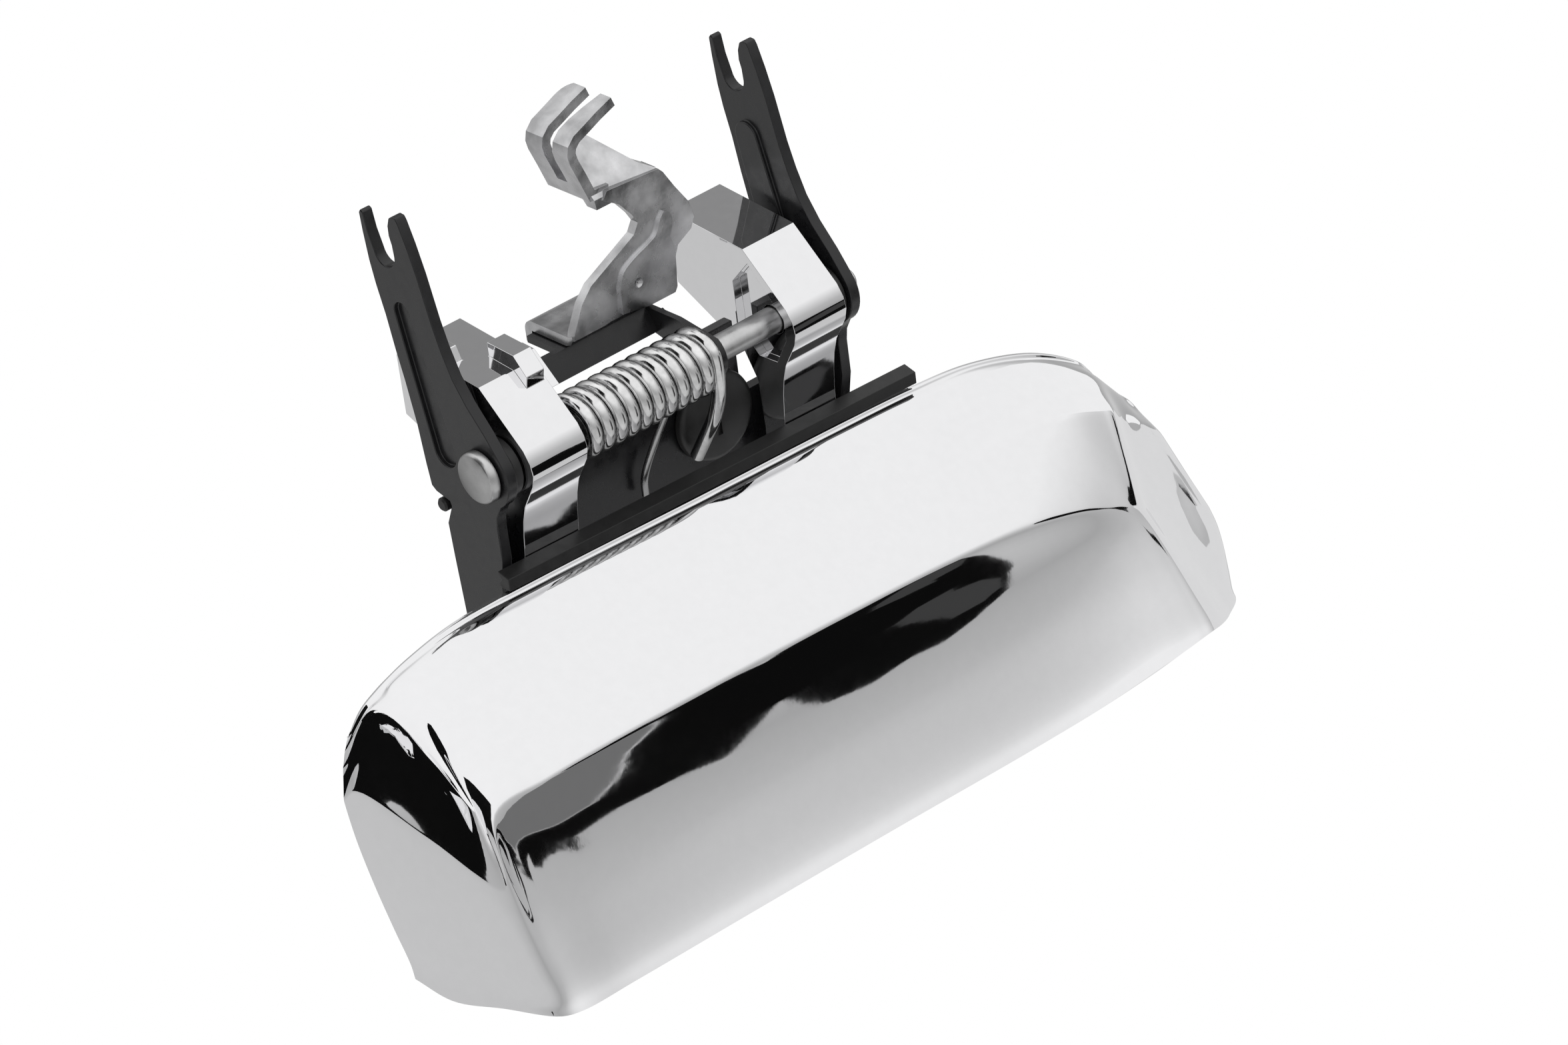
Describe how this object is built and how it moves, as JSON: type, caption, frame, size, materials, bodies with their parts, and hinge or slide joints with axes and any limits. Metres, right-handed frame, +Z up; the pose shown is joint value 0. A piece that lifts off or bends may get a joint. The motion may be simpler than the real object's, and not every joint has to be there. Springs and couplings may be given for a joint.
{
  "type": "exterior door handle",
  "caption": "Pull-up exterior door handle: chromed cast grip on a black forked steel frame, with pivot pin, torsion spring and zinc cable lever.",
  "frame": {"origin": "middle of the pivot pin", "axes": "+X along the pivot pin, +Z up the door skin, -Y outwards towards the user"},
  "size_m": [0.2105, 0.0862, 0.1456],
  "materials": {
    "handle_grip": "polished chrome plate",
    "frame_bracket": "semi-gloss black paint",
    "cable_lever": "mottled satin zinc plate",
    "lever_bracket": "semi-gloss black paint",
    "pivot_pin": "dull zinc plate",
    "retaining_ring": "plain spring steel",
    "main_spring": "bright drawn wire",
    "lever_wire": "drawn wire",
    "lip_strip": "matt black",
    "bumper_disc": "matt dark grey",
    "arm_buffer": "matt black",
    "pivot_washer_left": "black nylon",
    "pivot_washer_right": "black nylon"
  },
  "bodies": {
    "frame": {"frame_bracket": "frame_bracket", "pivot_pin": "pivot_pin", "retaining_ring": "retaining_ring", "pivot_washer_left": "pivot_washer_left", "pivot_washer_right": "pivot_washer_right", "bumper_disc": "bumper_disc", "arm_buffer": "arm_buffer", "main_spring": "main_spring", "lever_wire": "lever_wire"},
    "handle": {"handle_grip": "handle_grip", "lip_strip": "lip_strip"},
    "lever": {"cable_lever": "cable_lever", "lever_bracket": "lever_bracket"}
  },
  "joints": [
    {"name": "handle_lift", "type": "hinge", "parent": "frame", "child": "handle", "pos_m": [0, 0, 0], "axis": [-1, 0, 0], "range_deg": [0, 34], "stiffness_Nm_per_rad": 0.8, "springref_deg": -28.65},
    {"name": "lever_pivot", "type": "hinge", "parent": "frame", "child": "lever", "pos_m": [0, 0, 0], "axis": [-1, 0, 0], "range_deg": [0, 34], "deforming": ["main_spring", "lever_wire"]}
  ],
  "couplings": [
    {"joint": "lever_pivot", "follows": "handle_lift", "ratio": 1}
  ]
}
